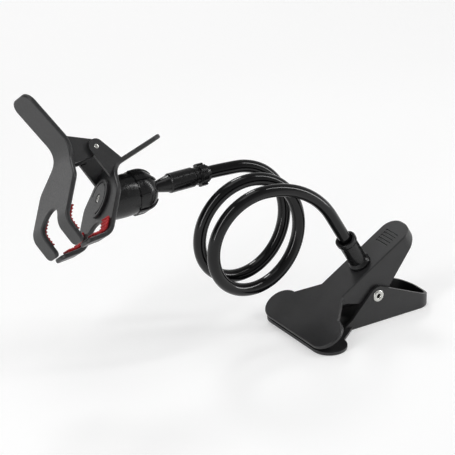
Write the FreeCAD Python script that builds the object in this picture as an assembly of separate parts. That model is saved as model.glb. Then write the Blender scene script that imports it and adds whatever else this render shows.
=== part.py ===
import FreeCAD
import Part

import math
import os

# A desk phone stand: a sprung table clamp, a bendable arm wound in a coil and a phone clip on a ball.
# Millimetres. The clamp's lower plate lies on Z = 0 with its pivot above the origin and its handles at +X.

Vec = FreeCAD.Vector

# Table clamp
jaw_half_angle = 15.5
clamp_pivot_height = 21.0
paddle_length = 41.5
handle_length = 71.0
neck_start = -22.0
plate_thickness = 2.6
clamp_wall = 2.1
upper_neck_half = 12.4
ear_clearance = 0.3
lobe_radius = 12.9
lobe_spread = 26.3
ear_radius = 7.0
rim_height = 7.5
neck_wall_gap = 7.0
wall_run_out = 8.0
handle_corner = 11.0
plate_edge_round = 0.9
pad_depth = 14.0
pad_width = 52.0
pad_gap = 0.1
pad_groove_width = 1.2
pad_groove_depth = 0.5
pad_groove_count = 3
rivet_radius = 2.5
rivet_bore = 1.5
rivet_head_radius = 4.4
rivet_head_height = 1.0
running_clearance = 0.06
seat_clearance = 0.02
grip_rib_count = 5
grip_rib_pitch = 2.6
grip_rib_radius = 0.6
grip_rib_length = 13.0
clamp_wire = 1.8
clamp_coil_turns = 5
clamp_coil_pitch = 2.0
clamp_leg_slope = 45.0

# Arm
sleeve_along_plate = 6.0
sleeve_radius = 6.6
sleeve_length = 26.0
sleeve_flange_radius = 8.0
sleeve_flange_height = 2.2
sleeve_mouth_radius = 5.7
sleeve_mouth_depth = 3.0
turned_edge_round = 0.5
sheath_radius = 4.5
core_radius = 3.0
coil_radius = 38.0
coil_turns = 2
coil_sides = 10
coil_back = 87.5
coil_height = 78.5
coil_pitch = 21.0
coil_drift = 2.4
coil_climb = 1.25
exit_run = 6.0
arm_screw_radius = 2.0
arm_screw_depth = 12.0
screw_head_height = 2.4
screw_head_radius = 4.0

# Ball stud, measured from the ball's centre towards the arm
ball_reach = 157.0
ball_side_step = 2.5
ball_radius = 7.75
neck_radius = 3.3
cone_start = 9.0
cone_end = 21.0
stud_radius = 6.85
stud_end = 41.0
stud_bore_start = 28.0
stud_ring_gap = 0.4
ring_waist = 6.0
ring_flange_radius = 8.0
ring_flange_start = 45.0
ring_flange_end = 50.0
ring_end = 53.0
ring_notch_count = 6
ring_notch_width = 2.0
ring_notch_depth = 1.1
ring_edge_round = 0.3

# Phone clip, in its own frame: X from the hinge pin to the finger tips, Z from lower to upper jaw
clip_turn = 53.0
clip_plate = 3.2
clip_edge_round = 1.1
clip_level = 16.1
clip_handle_half = 13.2
fork_half = 28.5
finger_width = 15.0
flare_start = 12.0
flare_end = 30.0
crotch = 48.0
hook_start = 61.0
hook_angle = 53.0
hook_bend = 10.0
tip_gap = 0.5
upper_handle_angle = 57.0
upper_handle_bend = 18.0
upper_handle_reach = 47.0
lower_handle_angle = 42.0
lower_handle_bend = 16.0
lower_handle_reach = 43.0
upper_handle_corner = 5.0
lower_handle_corner = 7.0
handle_tip_corner = 8.0
finger_tip_corner = 4.0
neck_round = 20.0
flare_round = 9.0
crotch_flat = 0.5
clip_ear = 2.2
clip_ear_radius = 5.4
clip_ear_front = 19.0
pin_radius = 1.7
pin_proud = 0.5
clip_pad_thickness = 1.5
clip_pad_width = 10.5
clip_pad_run = 11.0
clip_pad_hook_run = 11.0
clip_pad_rib = 1.0
clip_pad_rib_pitch = 1.9
clip_wire = 1.2
clip_coil_turns = 6
clip_coil_pitch = 1.35
clip_leg_length = 14.0
clip_leg_slope = 5.0

# Ball socket under the clip
swivel_x = 30.0
socket_lean = 32.0
socket_reach = 29.0
dome_radius = 15.0
dome_shoulder = 20.0
dome_shoulder_radius = 14.2
dome_bulge = 0.4
collet_radius = 11.6
collet_past_ball = 3.0
collet_overlap = 3.0
collet_slot = 1.2
collet_slot_count = 6
ball_clearance = 0.3
nut_radius = 14.8
nut_wall_clearance = 0.08
nut_bowl_before_ball = 3.0
nut_bowl_inset = 2.0
nut_past_ball = 7.0
nut_opening = 8.9
fin_count = 8
fin_width = 1.5
fin_height = 0.9
fin_overhang = 0.9
spigot_radius = 9.0
spigot_clearance = 0.06
plate_gap = 0.3
disc_radius = 13.5
disc_thickness = 1.6
disc_groove_radius = 11.2
disc_groove_width = 1.2
disc_groove_depth = 0.7
disc_groove_sweep = 250.0
swivel_screw_radius = 1.5
swivel_screw_length = 9.0
swivel_head_radius = 2.9
swivel_head_height = 1.0
dome_recess_radius = 3.2
dome_recess_depth = 1.6
dome_recess_hole = 1.4

# Values that follow from the sizes above
beta = math.radians(jaw_half_angle)
lean = math.radians(socket_lean)
turn = math.radians(clip_turn)
front_edge = neck_start - paddle_length
handle_end = neck_start + handle_length
lobe_centre = front_edge + lobe_radius
coil_centre = Vec(-coil_back, 0, coil_height)
coil_step = Vec(coil_drift, coil_pitch, coil_climb)
coil_exit_height = coil_height + coil_radius + coil_turns * coil_climb
ball_centre = Vec(-ball_reach, coil_turns * coil_pitch + ball_side_step, coil_exit_height)
lower_neck_half = upper_neck_half + ear_clearance + clamp_wall
mid_slope = math.tan(beta)
clip_inner_ear = clip_handle_half - clip_ear - ear_clearance
finger_centre = fork_half - finger_width / 2
finger_inside = fork_half - finger_width
crotch_round = finger_inside - crotch_flat
clip_inner_face = clip_level - clip_plate / 2
clip_outer_face = clip_level + clip_plate / 2
clamp_coil_radius = rivet_radius + clamp_wire / 2 + seat_clearance
clip_coil_radius = pin_radius + clip_wire / 2 + seat_clearance


def mid_height(x):
    """Height of the clamp's middle plane over the outer face of a plate."""
    return clamp_pivot_height + x * mid_slope


def half_turn_at(before, here, after):
    """Half of the angle by which a path turns at a corner."""
    return (math.pi - (before - here).getAngle(after - here)) / 2


def corner_arc(before, here, after, radius):
    """Start, middle and end of the arc that rounds a corner."""
    back = (before - here).normalize()
    ahead = (after - here).normalize()
    half_turn = half_turn_at(before, here, after)
    reach = radius * math.tan(half_turn)
    bisector = (back + ahead).normalize()
    middle = here + bisector * (radius / math.cos(half_turn) - radius)
    return here + back * reach, middle, here + ahead * reach


def rounded_edges(points, radii, closed=False):
    """Edges of a polyline whose corners are replaced by tangent arcs."""
    count = len(points)
    corners = []
    for i in range(count):
        at_end = not closed and i in (0, count - 1)
        if at_end or radii[i] == 0:
            corners.append((points[i], None, points[i]))
        else:
            corners.append(corner_arc(points[i - 1], points[i], points[(i + 1) % count], radii[i]))
    edges = []
    for i in range(count):
        start, middle, end = corners[i]
        if middle is not None:
            edges.append(Part.Arc(start, middle, end).toShape())
        if i < count - 1 or closed:
            following = corners[(i + 1) % count][0]
            if end.distanceToPoint(following) > 1e-6:
                edges.append(Part.makeLine(end, following))
    return edges


def rounded_face(points, radii):
    """Flat face with rounded corners."""
    return Part.Face(Part.Wire(rounded_edges(points, radii, True)))


def mirrored_outline(points):
    """Closed outline from the points of its +Y half, given from the back to the front."""
    return points + [Vec(p.x, -p.y, p.z) for p in reversed(points)]


def slab(face, low, high):
    """Prism of an XY face between two heights."""
    return face.translated(Vec(0, 0, low)).extrude(Vec(0, 0, high - low))


def across(face, low, high):
    """Prism of an XZ face between two Y values."""
    return face.translated(Vec(0, low, 0)).extrude(Vec(0, high - low, 0))


def polygon_xz(pairs):
    """Face in the XZ plane from X and Z pairs."""
    points = [Vec(x, 0, z) for x, z in pairs]
    return Part.Face(Part.makePolygon(points + points[:1]))


def turned(face, origin, axis):
    """Solid of revolution from a face in the XZ plane, on an axis that starts at origin."""
    solid = face.revolve(Vec(0, 0, 0), Vec(0, 0, 1), 360)
    solid.Placement = FreeCAD.Placement(origin, FreeCAD.Rotation(Vec(0, 0, 1), axis))
    return solid


def revolved(pairs, origin, axis):
    """Solid of revolution from radius and distance pairs, along an axis that starts at origin."""
    points = [Vec(r, 0, d) for r, d in pairs]
    return turned(Part.Face(Part.makePolygon(points + points[:1])), origin, axis)


def ring_edges(shape, radius):
    """Closed edges of a turned shape that are wider than a radius."""
    return [edge for edge in shape.Edges if edge.Closed and edge.Length > 2 * math.pi * radius]


def tangent_point(point, centre, radius, side):
    """Point in the XZ plane where a line from a point touches a circle, on one side of it."""
    gap = point - centre
    angle = math.atan2(gap.z, gap.x) + side * math.acos(radius / gap.Length)
    return centre + Vec(radius * math.cos(angle), 0, radius * math.sin(angle))


def offset_polyline(points, radii, distance):
    """Polyline in the XZ plane moved sideways, with its corner radii."""
    count = len(points)
    runs = [(points[i + 1] - points[i]).normalize() for i in range(count - 1)]
    normals = [Vec(-run.z, 0, run.x) for run in runs]
    moved = [points[0] + normals[0] * distance]
    bends = [0]
    for i in range(1, count - 1):
        shared = (normals[i - 1] + normals[i]) / (1 + normals[i - 1].dot(normals[i]))
        moved.append(points[i] + shared * distance)
        left = runs[i - 1].x * runs[i].z - runs[i - 1].z * runs[i].x > 0
        bends.append(radii[i] - distance if left else radii[i] + distance)
    moved.append(points[-1] + normals[-1] * distance)
    return moved, bends + [0]


def band(points, radii, low, high):
    """Strip of a bent sheet seen from its side, between two offsets of a rounded polyline."""
    first, first_bends = offset_polyline(points, radii, low)
    second, second_bends = offset_polyline(points, radii, high)
    edges = rounded_edges(first, first_bends)
    edges.append(Part.makeLine(first[-1], second[-1]))
    edges += rounded_edges(second, second_bends)
    edges.append(Part.makeLine(second[0], first[0]))
    return Part.Face(Part.Wire(Part.__sortEdges__(edges)))


def torsion_spring(wire, radius, turns, pitch, leg_length, lower_leg, upper_leg):
    """Coil about the Y axis at the origin, with a straight leg at each end."""
    rounds = turns + (upper_leg - lower_leg) / 360.0
    height = pitch * rounds
    helix = Part.makeHelix(pitch, height, radius)
    rise = pitch / (2 * math.pi)
    swing = 2 * math.pi * rounds
    first = Vec(radius, 0, 0)
    first_way = Vec(0, radius, rise).normalize()
    last = Vec(radius * math.cos(swing), radius * math.sin(swing), height)
    last_way = Vec(-radius * math.sin(swing), radius * math.cos(swing), rise).normalize()
    start = first - first_way * leg_length
    legs = [Part.makeLine(start, first), Part.makeLine(last, last + last_way * leg_length)]
    path = Part.Wire([legs[0], *helix.Edges, legs[1]])
    section = Part.Wire(Part.makeCircle(wire / 2, start, first_way))
    spring = path.makePipeShell([section], True, False)
    spring.translate(Vec(0, 0, -height / 2))
    spring.rotate(Vec(0, 0, 0), Vec(0, 0, 1), lower_leg)
    spring.rotate(Vec(0, 0, 0), Vec(1, 0, 0), 90)
    return spring


# Table clamp
pivot = Vec(0, 0, clamp_pivot_height)
mid_line = Vec(math.cos(beta), 0, math.sin(beta))


def to_upper(shape):
    """Turns a shape from the lower jaw's place to the upper jaw's."""
    turned = shape.copy()
    turned.rotate(pivot, mid_line, 180)
    return turned


def handle_outline(neck_half, inset, front):
    """Plan of the handle with rounded end corners, drawn in by an inset."""
    back = handle_end - inset
    side = neck_half - inset
    points = [Vec(back, -side, 0), Vec(back, side, 0), Vec(front, side, 0), Vec(front, -side, 0)]
    bend = handle_corner - inset
    return rounded_face(points, [bend, bend, 0, 0])


def clamp_half(neck_half, pivot_hole):
    """Plate with paddle and handle, side walls and pivot ears."""
    flare = [Vec(neck_start, neck_half, 0), Vec(lobe_centre + lobe_radius, lobe_spread, 0)]
    flare.append(Vec(front_edge, lobe_spread, 0))
    paddle = rounded_face(mirrored_outline(flare), [0] * 6)
    plate = slab(paddle, 0, plate_thickness)
    plate = plate.fuse(slab(handle_outline(neck_half, 0, neck_start), 0, plate_thickness))
    for side in (-1, 1):
        lobe = Vec(lobe_centre, side * lobe_spread, 0)
        plate = plate.fuse(Part.makeCylinder(lobe_radius, plate_thickness, lobe))
    front_corner = Vec(neck_start, 0, mid_height(neck_start) - neck_wall_gap)
    back_corner = Vec(handle_end, 0, rim_height)
    front_touch = tangent_point(front_corner, pivot, ear_radius, -1)
    back_touch = tangent_point(back_corner, pivot, ear_radius, 1)
    wall_front = neck_start - wall_run_out
    profile = [(wall_front, 0), (wall_front, plate_thickness)]
    profile += [(p.x, p.z) for p in (front_corner, front_touch, pivot, back_touch, back_corner)]
    profile.append((handle_end, 0))
    walls = across(polygon_xz(profile), -neck_half, neck_half)
    ear_foot = pivot - Vec(0, neck_half, 0)
    walls = walls.fuse(Part.makeCylinder(ear_radius, 2 * neck_half, ear_foot, Vec(0, 1, 0)))
    top = clamp_pivot_height + ear_radius
    walls = walls.common(slab(handle_outline(neck_half, 0, wall_front), 0, top))
    hollow = handle_outline(neck_half, clamp_wall, wall_front - clamp_wall)
    walls = walls.cut(slab(hollow, plate_thickness, top + clamp_wall))
    half = plate.fuse(walls).removeSplitter()
    outer_rim = [edge for edge in half.Edges if edge.BoundBox.ZMax < 1e-6]
    half = half.makeFillet(plate_edge_round, outer_rim)
    cuts = [Part.makeCylinder(pivot_hole, 4 * neck_half, pivot - Vec(0, 2 * neck_half, 0), Vec(0, 1, 0))]
    for i in range(grip_rib_count):
        line = Vec(handle_end - handle_corner - i * grip_rib_pitch, -grip_rib_length / 2, 0)
        cuts.append(Part.makeCylinder(grip_rib_radius, grip_rib_length, line, Vec(0, 1, 0)))
    return half.cut(cuts)


def clamp_pad():
    """Wedge of rubber that fills the mouth between a plate and the middle plane."""
    start = front_edge + plate_edge_round
    end = front_edge + pad_depth
    gap = pad_gap / math.cos(beta)
    profile = [(start, plate_thickness), (end, plate_thickness)]
    profile += [(end, mid_height(end) - gap), (start, mid_height(start) - gap)]
    pad = across(polygon_xz(profile), -pad_width / 2, pad_width / 2)
    for i in range(pad_groove_count):
        x = start + (end - start) * (i + 1.5) / (pad_groove_count + 1.5)
        groove = Part.makeBox(pad_groove_width, pad_width, plate_thickness)
        groove.translate(Vec(x, -pad_width / 2, mid_height(x) - gap - pad_groove_depth))
        pad = pad.cut(groove)
    return pad


clamp_lower_jaw = clamp_half(lower_neck_half, rivet_radius + seat_clearance)
arm_screw_hole = arm_screw_radius + ear_clearance
screw_way_foot = Vec(sleeve_along_plate, 0, -plate_thickness / 2)
screw_way = Part.makeCylinder(arm_screw_hole, 2 * plate_thickness, screw_way_foot)
upper_half = clamp_half(upper_neck_half, rivet_radius + running_clearance)
clamp_upper_jaw = to_upper(upper_half.cut(screw_way))
clamp_lower_pad = clamp_pad()
clamp_upper_pad = to_upper(clamp_lower_pad)

rivet_edge = rivet_head_height / 2
rivet_far = rivet_head_height + 2 * lower_neck_half
rivet_profile = [
    (rivet_bore, 0),
    (rivet_head_radius - rivet_edge, 0),
    (rivet_head_radius, rivet_edge),
    (rivet_head_radius, rivet_head_height),
    (rivet_radius, rivet_head_height),
    (rivet_radius, rivet_far),
    (rivet_head_radius, rivet_far),
    (rivet_head_radius, rivet_far + rivet_edge),
    (rivet_head_radius - rivet_edge, rivet_far + rivet_head_height),
    (rivet_bore, rivet_far + rivet_head_height),
]
rivet_foot = pivot - Vec(0, lower_neck_half + rivet_head_height, 0)
clamp_rivet = revolved(rivet_profile, rivet_foot, Vec(0, 1, 0))

clamp_leg_start = 90 - clamp_leg_slope
clamp_leg_drop = clamp_pivot_height - plate_thickness - clamp_wire / 2
clamp_leg_drop += clamp_coil_radius * math.sin(math.radians(clamp_leg_start))
clamp_leg = clamp_leg_drop / math.sin(math.radians(clamp_leg_slope)) - clamp_wire / 2
clamp_leg_finish = 2 * jaw_half_angle + clamp_leg_slope - 90
clamp_spring = torsion_spring(
    clamp_wire, clamp_coil_radius, clamp_coil_turns, clamp_coil_pitch,
    clamp_leg, clamp_leg_start, clamp_leg_finish,
)
clamp_spring.translate(pivot)

# Arm, from the sleeve on the upper jaw to the ball
plate_rise = 2 * beta
sleeve_axis = Vec(-math.sin(plate_rise), 0, math.cos(plate_rise))
sleeve_foot = to_upper(Part.Vertex(Vec(sleeve_along_plate, 0, 0))).Point
sheath_seat = sheath_radius + seat_clearance
sleeve_lip = sleeve_length - sleeve_mouth_depth
sleeve_lip_radius = sleeve_radius + sleeve_mouth_radius - sheath_radius - ear_clearance
sleeve_profile = [
    (sheath_seat, 0),
    (sleeve_flange_radius, 0),
    (sleeve_flange_radius, sleeve_flange_height),
    (sleeve_radius, 2 * sleeve_flange_height),
    (sleeve_radius, sleeve_lip - sleeve_mouth_depth / 2),
    (sleeve_lip_radius, sleeve_lip),
    (sleeve_lip_radius, sleeve_length),
    (sleeve_mouth_radius, sleeve_length),
    (sleeve_mouth_radius, sleeve_lip),
    (sheath_seat, sleeve_lip),
]
arm_sleeve = revolved(sleeve_profile, sleeve_foot, sleeve_axis)
sleeve_rims = ring_edges(arm_sleeve, sheath_radius + sleeve_mouth_depth / 2)
arm_sleeve = arm_sleeve.makeFillet(turned_edge_round, sleeve_rims)

stem = Vec(1, 0, 0)
coil_half_side = math.pi / coil_sides
coil_reach = coil_radius * math.tan(coil_half_side)
coil_top = coil_centre.z + coil_radius
entry = sleeve_foot + sleeve_axis * ((coil_top - sleeve_foot.z) / sleeve_axis.z)
arm_points = [sleeve_foot, entry]
for i in range(coil_turns * coil_sides):
    swing = (2 * i + 1) * coil_half_side
    hub = coil_centre + coil_step * (swing / (2 * math.pi))
    spoke = coil_radius / math.cos(coil_half_side)
    arm_points.append(hub + Vec(-math.sin(swing), 0, math.cos(swing)) * spoke)
arm_points.append(ball_centre + stem * (ring_end + exit_run))
arm_points.append(ball_centre + stem * (stud_bore_start + stud_ring_gap))
arm_bends = [0]
for i in range(1, len(arm_points) - 1):
    reach = coil_reach
    if i == 1:
        reach = entry.distanceToPoint(arm_points[2]) - coil_reach
    if i == len(arm_points) - 2:
        reach = exit_run
    arm_bends.append(reach / math.tan(half_turn_at(*arm_points[i - 1:i + 2])))
arm_bends.append(0)
arm_path = Part.Wire(rounded_edges(arm_points, arm_bends))


def arm_tube(outer, inner):
    """Round tube or rod along the arm."""
    section = Part.Face(Part.Wire(Part.makeCircle(outer, sleeve_foot, sleeve_axis)))
    if inner > 0:
        section = section.cut(Part.Face(Part.Wire(Part.makeCircle(inner, sleeve_foot, sleeve_axis))))
    return arm_path.makePipe(section.Faces[0])


screw_seat = arm_screw_radius + seat_clearance
screw_bore = Part.makeCylinder(screw_seat, arm_screw_depth, sleeve_foot, sleeve_axis)
gooseneck_core = arm_tube(core_radius - seat_clearance, 0).cut(screw_bore)
gooseneck_sheath = arm_tube(sheath_radius, core_radius)
screw_profile = [
    (0, -plate_thickness - screw_head_height),
    (screw_head_radius - ear_clearance, -plate_thickness - screw_head_height),
    (screw_head_radius, -plate_thickness - screw_head_height / 2),
    (screw_head_radius, -plate_thickness),
    (arm_screw_radius, -plate_thickness),
    (arm_screw_radius, arm_screw_depth),
    (0, arm_screw_depth),
]
arm_screw = revolved(screw_profile, sleeve_foot, sleeve_axis)

stud_edge = stud_radius - ring_waist
stud_bore = sheath_radius + running_clearance
ball_meet = math.sqrt(ball_radius ** 2 - neck_radius ** 2)
stud_profile = [
    (neck_radius, ball_meet),
    (neck_radius, cone_start),
    (ring_waist, cone_end),
    (stud_radius, cone_end + stud_edge),
    (stud_radius, stud_end - stud_edge),
    (ring_waist, stud_end),
    (stud_bore, stud_end),
    (stud_bore, stud_bore_start),
    (0, stud_bore_start),
    (0, -ball_radius),
]
stud_outline = Part.makePolygon([Vec(r, 0, d) for r, d in stud_profile])
ball_arc = Part.Arc(Vec(0, 0, -ball_radius), Vec(ball_radius, 0, 0), Vec(neck_radius, 0, ball_meet))
stud_face = Part.Face(Part.Wire(stud_outline.Edges + [ball_arc.toShape()]))
ball_stud = turned(stud_face, ball_centre, stem)
ball_stud = ball_stud.makeFillet(turned_edge_round, ring_edges(ball_stud, sheath_radius + stud_edge))

ring_profile = [
    (sheath_seat, stud_end + stud_ring_gap),
    (ring_waist, stud_end + stud_ring_gap),
    (ring_waist, ring_flange_start),
    (ring_flange_radius, ring_flange_start),
    (ring_flange_radius, ring_flange_end),
    (ring_waist, ring_flange_end),
    (ring_waist - stud_edge / 2, ring_end),
    (sheath_seat, ring_end),
]
stud_ring = revolved(ring_profile, ball_centre, stem)
for i in range(ring_notch_count):
    notch = Part.makeBox(ring_end, ring_notch_width, ring_notch_depth)
    notch.translate(Vec(ring_flange_start, -ring_notch_width / 2, ring_flange_radius - ring_notch_depth))
    notch.rotate(Vec(0, 0, 0), stem, i * 360.0 / ring_notch_count)
    stud_ring = stud_ring.cut(notch.translated(ball_centre))
stud_ring = stud_ring.makeFillet(ring_edge_round, stud_ring.Edges)

# Phone clip, drawn in its own frame with the hinge pin on the Y axis
hook_slope = math.radians(hook_angle)
hook_drop = clip_level - tip_gap / 2 - clip_plate / 2 * math.cos(hook_slope)
hook_length = hook_drop / math.sin(hook_slope)
hook_way = Vec(math.cos(hook_slope), 0, -math.sin(hook_slope))
hook_corner = Vec(hook_start, 0, clip_level)
finger_tip = hook_corner + hook_way * hook_length
pin_centre = Vec(0, 0, 0)
hinge_line = Vec(0, 1, 0)


def clip_jaw(handle_corner_x, handle_angle, handle_bend, handle_reach, ear_side, pin_hole):
    """Bent plate with a handle, two hooked fingers and two hinge ears, drawn as the upper jaw."""
    slope = math.radians(handle_angle)
    corner = Vec(handle_corner_x, 0, clip_level)
    handle_tip = corner + Vec(-math.cos(slope), 0, math.sin(slope)) * handle_reach
    bent = [handle_tip, corner, hook_corner, finger_tip]
    bends = [0, handle_bend, hook_bend, 0]
    sheet = across(band(bent, bends, -clip_plate / 2, clip_plate / 2), -fork_half, fork_half)
    back = handle_tip.x - clip_plate
    front = finger_tip.x + clip_plate
    plan = [
        Vec(back, clip_handle_half, 0),
        Vec(flare_start, clip_handle_half, 0),
        Vec(flare_end, fork_half, 0),
        Vec(front, fork_half, 0),
        Vec(front, finger_inside, 0),
        Vec(crotch, finger_inside, 0),
    ]
    rounds = [0, neck_round, flare_round, 0, 0, crotch_round]
    outline = rounded_face(mirrored_outline(plan), rounds + rounds[::-1])
    height = handle_tip.z + clip_plate
    jaw = sheet.common(slab(outline, -clip_plate, height))
    for tip, radius in ((handle_tip, handle_tip_corner), (finger_tip, finger_tip_corner)):
        corners = []
        for edge in jaw.Edges:
            gap = edge.CenterOfMass - tip
            stray = math.hypot(gap.x, gap.z) + abs(edge.Length - clip_plate)
            if stray < seat_clearance:
                corners.append(edge)
        jaw = jaw.makeFillet(radius, corners)
    jaw = jaw.makeFillet(clip_edge_round, jaw.Edges)
    bend = corner_arc(hook_corner, corner, handle_tip, handle_bend)
    ear_front = Vec(clip_ear_front, 0, clip_level)
    front_touch = tangent_point(ear_front, pin_centre, clip_ear_radius, -1)
    back_touch = tangent_point(bend[2], pin_centre, clip_ear_radius, 1)
    ear_points = [ear_front, *bend, back_touch, pin_centre, front_touch]
    ear_face = polygon_xz([(p.x, p.z) for p in ear_points])
    for low in (ear_side - clip_ear, -ear_side):
        lobe = Part.makeCylinder(clip_ear_radius, clip_ear, Vec(0, low, 0), hinge_line)
        ear = across(ear_face, low, low + clip_ear).fuse(lobe)
        jaw = jaw.fuse(ear)
    hole = Part.makeCylinder(pin_hole, 2 * fork_half, Vec(0, -fork_half, 0), hinge_line)
    return jaw.cut(hole).removeSplitter()


def clip_pad(side):
    """Ribbed rubber strip inside a finger and its hook, drawn for the upper jaw."""
    start = hook_corner - Vec(clip_pad_run, 0, 0)
    end = hook_corner + hook_way * clip_pad_hook_run
    skin = clip_plate / 2 + clip_pad_thickness
    face = band([start, hook_corner, end], [0, hook_bend, 0], -skin, -clip_plate / 2)
    low = side * finger_centre - clip_pad_width / 2
    pad = across(face, low, low + clip_pad_width)
    bend_reach = hook_bend * math.tan(hook_slope / 2)
    hook_inside = Vec(-math.sin(hook_slope), 0, -math.cos(hook_slope))
    ribs = []
    steps = int((clip_pad_run - bend_reach) / clip_pad_rib_pitch)
    for i in range(steps):
        ribs.append(start + Vec((i + 0.5) * clip_pad_rib_pitch, 0, -skin))
    steps = int((clip_pad_hook_run - bend_reach) / clip_pad_rib_pitch)
    for i in range(steps):
        ribs.append(end - hook_way * ((i + 0.5) * clip_pad_rib_pitch) + hook_inside * skin)
    for rib in ribs:
        foot = rib + Vec(0, low, 0)
        pad = pad.fuse(Part.makeCylinder(clip_pad_rib / 2, clip_pad_width, foot, hinge_line))
    return pad.removeSplitter()


def flipped(shape):
    """Mirrors a clip shape from the upper to the lower side."""
    return shape.mirror(Vec(0, 0, 0), Vec(0, 0, 1))


upper_jaw_shape = clip_jaw(
    upper_handle_corner, upper_handle_angle, upper_handle_bend, upper_handle_reach,
    clip_inner_ear, pin_radius + running_clearance,
)
lower_jaw_shape = flipped(clip_jaw(
    lower_handle_corner, lower_handle_angle, lower_handle_bend, lower_handle_reach,
    clip_handle_half, pin_radius + seat_clearance,
))
pin_foot = Vec(0, -clip_handle_half - pin_proud, 0)
pin_shape = Part.makeCylinder(pin_radius, 2 * (clip_handle_half + pin_proud), pin_foot, hinge_line)
spring_shape = torsion_spring(
    clip_wire, clip_coil_radius, clip_coil_turns, clip_coil_pitch,
    clip_leg_length, -clip_leg_slope, clip_leg_slope,
)

# Ball socket, drawn in the clip's frame
socket_axis = Vec(-math.sin(lean), 0, -math.cos(lean))
socket_root = Vec(swivel_x, 0, -clip_outer_face)
socket_ball = socket_root + socket_axis * socket_reach
swivel_up = Vec(0, 0, 1)

spigot_seat = spigot_radius + spigot_clearance
spigot_hole = Part.makeCylinder(spigot_seat, 2 * clip_level, socket_root - swivel_up, swivel_up)
lower_jaw_shape = lower_jaw_shape.cut(spigot_hole)

dome_top = socket_root - swivel_up * plate_gap
shoulder = socket_root + socket_axis * dome_shoulder


def tilted_circle(radius, centre, angle):
    """Circle turned about the hinge direction."""
    circle = Part.makeCircle(radius)
    circle.rotate(Vec(0, 0, 0), hinge_line, angle)
    circle.translate(centre)
    return Part.Wire(circle)


dome_middle_radius = (dome_radius + dome_shoulder_radius) / 2 + dome_bulge
dome_sections = [
    tilted_circle(dome_radius, dome_top, 180),
    tilted_circle(dome_middle_radius, (dome_top + shoulder) / 2, 180 + socket_lean / 2),
    tilted_circle(dome_shoulder_radius, shoulder, 180 + socket_lean),
]
dome_shape = Part.makeLoft(dome_sections, True, False)
above_dome = Part.makeCylinder(2 * dome_radius, dome_radius, dome_top, swivel_up)
dome_shape = dome_shape.cut(above_dome)
collet_root = shoulder - socket_axis * collet_overlap
collet_length = socket_reach + collet_past_ball + collet_overlap - dome_shoulder
collet = Part.makeCylinder(collet_radius, collet_length, collet_root, socket_axis)
spigot_top = -clip_inner_face + plate_gap
spigot_foot = dome_top - swivel_up * plate_gap
spigot = Part.makeCylinder(spigot_radius, spigot_top - spigot_foot.z, spigot_foot, swivel_up)
dome_shape = dome_shape.fuse([collet, spigot])
dome_shape = dome_shape.cut(Part.makeSphere(ball_radius + ball_clearance, socket_ball))
slot_depth = ball_radius / 2 + collet_past_ball
along_socket = FreeCAD.Rotation(swivel_up, socket_axis)
at_ball = FreeCAD.Placement(socket_ball, along_socket)
at_root = FreeCAD.Placement(socket_root, along_socket)
for i in range(collet_slot_count):
    slot = Part.makeBox(2 * collet_radius, collet_slot, slot_depth + collet_slot)
    slot.translate(Vec(0, -collet_slot / 2, collet_past_ball - slot_depth))
    slot.rotate(Vec(0, 0, 0), swivel_up, i * 360.0 / collet_slot_count)
    slot.Placement = at_ball.multiply(slot.Placement)
    dome_shape = dome_shape.cut(slot)
screw_top = Vec(swivel_x, 0, spigot_top + disc_thickness)
screw_foot = screw_top - swivel_up * swivel_screw_length
thread_seat = swivel_screw_radius + seat_clearance
swivel_hole = Part.makeCylinder(thread_seat, 2 * swivel_screw_length, screw_foot, swivel_up)
recess_centre = (dome_top + shoulder) / 2
recess_floor = recess_centre - hinge_line * (dome_middle_radius - dome_recess_depth)
hole_floor = recess_floor + hinge_line * 2 * dome_recess_depth
dome_recess = Part.makeCylinder(dome_recess_radius, dome_radius, recess_floor, -hinge_line)
recess_hole = Part.makeCylinder(dome_recess_hole, dome_radius, hole_floor, -hinge_line)
dome_shape = dome_shape.cut([swivel_hole, dome_recess, recess_hole])

nut_start = dome_shoulder + plate_gap
nut_end = socket_reach + nut_past_ball
nut_bowl_start = socket_reach - nut_bowl_before_ball
nut_bore = collet_radius + nut_wall_clearance
nut_step = socket_reach + collet_past_ball + plate_gap


def nut_face(swell, overhang):
    """Half section of the nut, swollen for the fins."""
    rim = nut_radius + swell
    far_end = nut_end + overhang
    bowl_radius = rim - nut_bowl_inset
    bowl_turn = math.asin((far_end - nut_bowl_start) / bowl_radius)
    bowl_points = []
    for share in (0.0, 0.5, 1.0):
        out = nut_bowl_inset + bowl_radius * math.cos(share * bowl_turn)
        along = nut_bowl_start + bowl_radius * math.sin(share * bowl_turn)
        bowl_points.append(Vec(out, 0, along))
    bowl = Part.Arc(*bowl_points).toShape()
    rest = Part.makePolygon([
        bowl_points[-1],
        Vec(nut_opening, 0, far_end),
        Vec(nut_bore, 0, nut_step),
        Vec(nut_bore, 0, nut_start),
        Vec(rim - turned_edge_round, 0, nut_start),
        Vec(rim, 0, nut_start + turned_edge_round),
        bowl_points[0],
    ])
    return Part.Face(Part.Wire([bowl] + rest.Edges))


nut_shape = turned(nut_face(0, 0), socket_root, socket_axis)
fin_ring = turned(nut_face(fin_height, fin_overhang), socket_root, socket_axis)
for i in range(fin_count):
    blade = Part.makeBox(2 * nut_radius, fin_width, 2 * nut_end)
    blade.translate(Vec(nut_opening + fin_height, -fin_width / 2, 0))
    blade.rotate(Vec(0, 0, 0), swivel_up, (i + 0.5) * 360.0 / fin_count)
    blade.Placement = at_root.multiply(blade.Placement)
    nut_shape = nut_shape.fuse(fin_ring.common(blade))

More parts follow.
